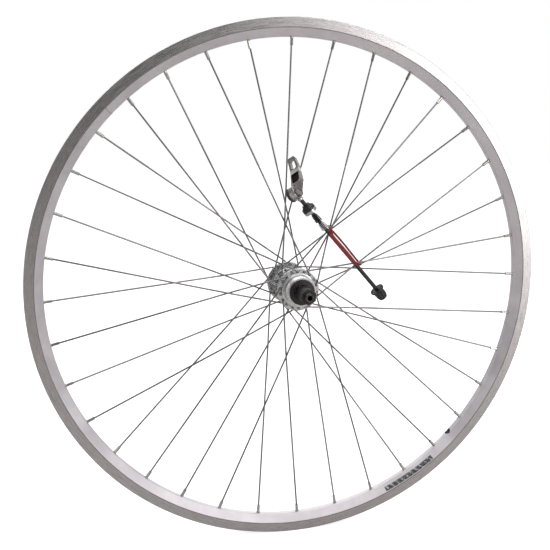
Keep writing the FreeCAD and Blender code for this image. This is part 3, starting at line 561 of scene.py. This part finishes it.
def thread_mesh(name, form, start, end, origin, axis, steps=48):
    """A ridge wound round an axis: a screw thread's crest, tapering out at both ends."""
    root, crest, pitch = (value * MM for value in form)
    side = axis.orthogonal().normalized()
    up = axis.cross(side)
    total = int(((end - start) / pitch - 2 * BARE_TURNS) * steps)
    rings = []
    for i in range(total + 1):
        angle = 2 * math.pi * i / steps
        along = start + BARE_TURNS * pitch + pitch * i / steps
        fade = min(1.0, i / (steps * FADE_TURNS), (total - i) / (steps * FADE_TURNS))
        top = root + (crest - root) * fade
        out = side * math.cos(angle) + up * math.sin(angle)
        profile = ((-0.46, root), (-0.10, top), (0.10, top), (0.46, root), (0.0, root - FOOT * MM))
        rings.append([origin + axis * (along + part * pitch) + out * radius for part, radius in profile])
    data = grid_mesh(name, rings)
    for face in data.polygons:
        face.use_smooth = False
    return data


def make_threads(looks):
    """The freewheel thread, the axle's two ends outside the locknuts, and the rod's end."""
    centre, y_axis = Vector((0, 0, 0)), Vector((0, 1, 0))
    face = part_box("hub_flange_drive")[0].y
    start, end = (face + part * MM for part in FREEWHEEL_THREAD_SPAN)
    data = thread_mesh("freewheel_thread", FREEWHEEL_THREAD, start, end, centre, y_axis, 96)
    new_object("freewheel_thread", data, "wheel", looks["hub_alloy"])
    low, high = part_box("axle")
    nut_low, nut_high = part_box("locknut_drive")[0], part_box("locknut_left")[1]
    axle_ends = (("axle_thread_drive", low.y, nut_low.y), ("axle_thread_left", nut_high.y, high.y))
    for name, start, end in axle_ends:
        data = thread_mesh(name, AXLE_THREAD, start, end, centre, y_axis)
        new_object(name, data, "axle_set", looks["axle_steel"])
    start, end = (part * MM for part in ROD_THREAD_SPAN)
    data = thread_mesh("rod_thread", ROD_THREAD, start, end, PIVOT, ALONG, 32)
    new_object("rod_thread", data, "wheel", looks["black_steel"])


# ---------------------------------------------------------------- rubber band

BAND_THICKNESS = 0.95
BAND_WIDTH = 3.9
BAND_FRONT = -3.55                       # Y of the front run's middle, from the rod's axis
BAND_STEPS = 14                          # rings from one station to the next
BAND_SIDES = 16                          # points round one ring
BAND_WAVE = 0.12                         # how far the flat faces wander


def smooth_loop(points):
    """A closed curve through the points, with BAND_STEPS steps between each pair."""
    count = len(points)
    out = []
    for i in range(count):
        p0, p1, p2, p3 = (points[(i + k - 1) % count] for k in range(4))
        for j in range(BAND_STEPS):
            t = j / BAND_STEPS
            out.append(0.5 * ((2 * p1) + (p2 - p0) * t + (2 * p0 - 5 * p1 + 4 * p2 - p3) * t ** 2
                              + (3 * p1 - p0 - 3 * p2 + p3) * t ** 3))
    return out


def band_stations():
    """Place, the way the flat side faces, and share of the full width, all round the loop."""
    y = Vector((0, 1, 0))
    front = BAND_FRONT
    return [(rod_point(69.0, 0.0, front), -y, 1.25),
            (rod_point(84.0, -0.2, front - 0.1), -y, 1.35),
            (rod_point(100.0, 0.0, front), -y, 1.3),
            (rod_point(114.5, 0.1, front + 0.1), -y, 1.15),
            (rod_point(121.2, 3.6, front + 0.9), ALONG - y, 0.8),
            (level_point(124.6, 5.4, -15.6), ALONG, 0.62),
            (level_point(124.7, 5.9, -11.4), ALONG + y * 0.5, 0.62),
            (level_point(121.4, 6.0, -9.3), y, 0.66),
            (level_point(108.0, 6.4, -9.2), y, 0.7),
            (level_point(92.0, 6.9, -9.4), y, 0.66),
            (level_point(76.0, 6.8, -9.2), y, 0.72),
            (level_point(63.4, 6.4, -9.3), y, 0.66),
            (level_point(60.3, 6.4, -11.4), -ALONG + y * 0.5, 0.62),
            (level_point(60.1, 6.0, -15.8), -ALONG, 0.62),
            (rod_point(62.6, 4.2, front + 1.0), -ALONG - y, 0.8)]


def make_band(material):
    """A flat elastic: over the rod in front, round the crossed spokes and back behind them."""
    stations = band_stations()
    path = smooth_loop([place for place, _, _ in stations])
    facing = smooth_loop([normal.normalized() for _, normal, _ in stations])
    width = smooth_loop([Vector((share, 0, 0)) for _, _, share in stations])
    rings = []
    count = len(path)
    for i, place in enumerate(path):
        forward = (path[(i + 1) % count] - path[i - 1]).normalized()
        out = (facing[i] - forward * facing[i].dot(forward)).normalized()
        across = forward.cross(out)
        half = BAND_WIDTH / 2 * width[i].x
        thick = BAND_THICKNESS / 2 * (1.25 - 0.25 * width[i].x)
        wave = BAND_WAVE * noise.noise(place * 240)
        ring = []
        for k in range(BAND_SIDES):
            turn = 2 * math.pi * k / BAND_SIDES
            flat, tall = math.cos(turn), math.sin(turn)
            reach = half * math.copysign(abs(flat) ** 0.45, flat)
            rise = thick * math.copysign(abs(tall) ** 0.6, tall)
            ring.append(place + across * reach * MM + out * (rise + wave) * MM)
        rings.append(ring)
    data = grid_mesh("rubber_band_strip", rings, closed_along=True)
    edge = data.attributes.new("edge", "FLOAT", "POINT")
    for i, point in enumerate(edge.data):
        point.value = abs(math.cos(2 * math.pi * (i % BAND_SIDES) / BAND_SIDES))
    piece = new_object("rubber_band_strip", data, "wheel", material)
    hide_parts("rubber_band")


# ---------------------------------------------------------------- floor and world

FLOOR_REACH = 14.0
FLOOR_GLOW = 0.85                        # lifts the floor to white for the camera only


def make_floor():
    low = cad_box[0].z
    data = bpy.data.meshes.new("floor")
    data.from_pydata([(-FLOOR_REACH, -FLOOR_REACH, low), (FLOOR_REACH, -FLOOR_REACH, low),
                      (FLOOR_REACH, FLOOR_REACH, low), (-FLOOR_REACH, FLOOR_REACH, low)], [], [(0, 1, 2, 3)])
    floor = bpy.data.objects.new("floor", data)
    scene.collection.objects.link(floor)
    s = Shader("floor_paper")
    grain = s.noise(s.mm, 0.05, 4.0)
    s.surface(s.mix(grain, (0.50, 0.49, 0.48), (0.54, 0.53, 0.52)), 0.9, specular_ior_level=0.2)
    glow = s.add("Emission")
    glow.inputs["Color"].default_value = (1, 1, 1, 1)
    s.link(s.times(s.add("LightPath").outputs["Is Camera Ray"], FLOOR_GLOW), glow.inputs["Strength"])
    total = s.add("AddShader")
    s.link(s.bsdf.outputs[0], total.inputs[0])
    s.link(glow.outputs[0], total.inputs[1])
    s.link(total.outputs[0], s.output.inputs["Surface"])
    data.materials.append(s.material)


def make_world():
    """White to the camera; to the metal, a room that is bright above, right and beyond and dark in front."""
    world = bpy.data.worlds.new("studio")
    scene.world = world
    world.use_nodes = True
    studio = Nodes(world.node_tree)
    x, y, z = studio.parts(studio.add("TexCoord").outputs["Generated"])
    above = studio.span(z, 0.05, 0.85, 0.0, 0.90)
    right = studio.span(x, 0.10, 0.75, 0.0, 0.45)
    beyond = studio.span(y, -0.2, 0.8, 0.10, 0.60)
    room = studio.add("Background")
    studio.link(studio.math("ADD", studio.math("MAXIMUM", above, beyond), right), room.inputs["Strength"])
    white = studio.add("Background")
    white.inputs["Color"].default_value = (1, 1, 1, 1)
    white.inputs["Strength"].default_value = 1.0
    pick = studio.add("MixShader")
    studio.link(studio.add("LightPath").outputs["Is Camera Ray"], pick.inputs[0])
    studio.link(room.outputs[0], pick.inputs[1])
    studio.link(white.outputs[0], pick.inputs[2])
    studio.link(pick.outputs[0], studio.add("OutputWorld").inputs["Surface"])


# ---------------------------------------------------------------- put together

make_camera()
make_floor()
make_world()
make_lights()
scene.view_settings.view_transform = "Standard"

looks = finishes()
dress_cad(looks)
make_band(looks["band_rubber"])
make_threads(looks)
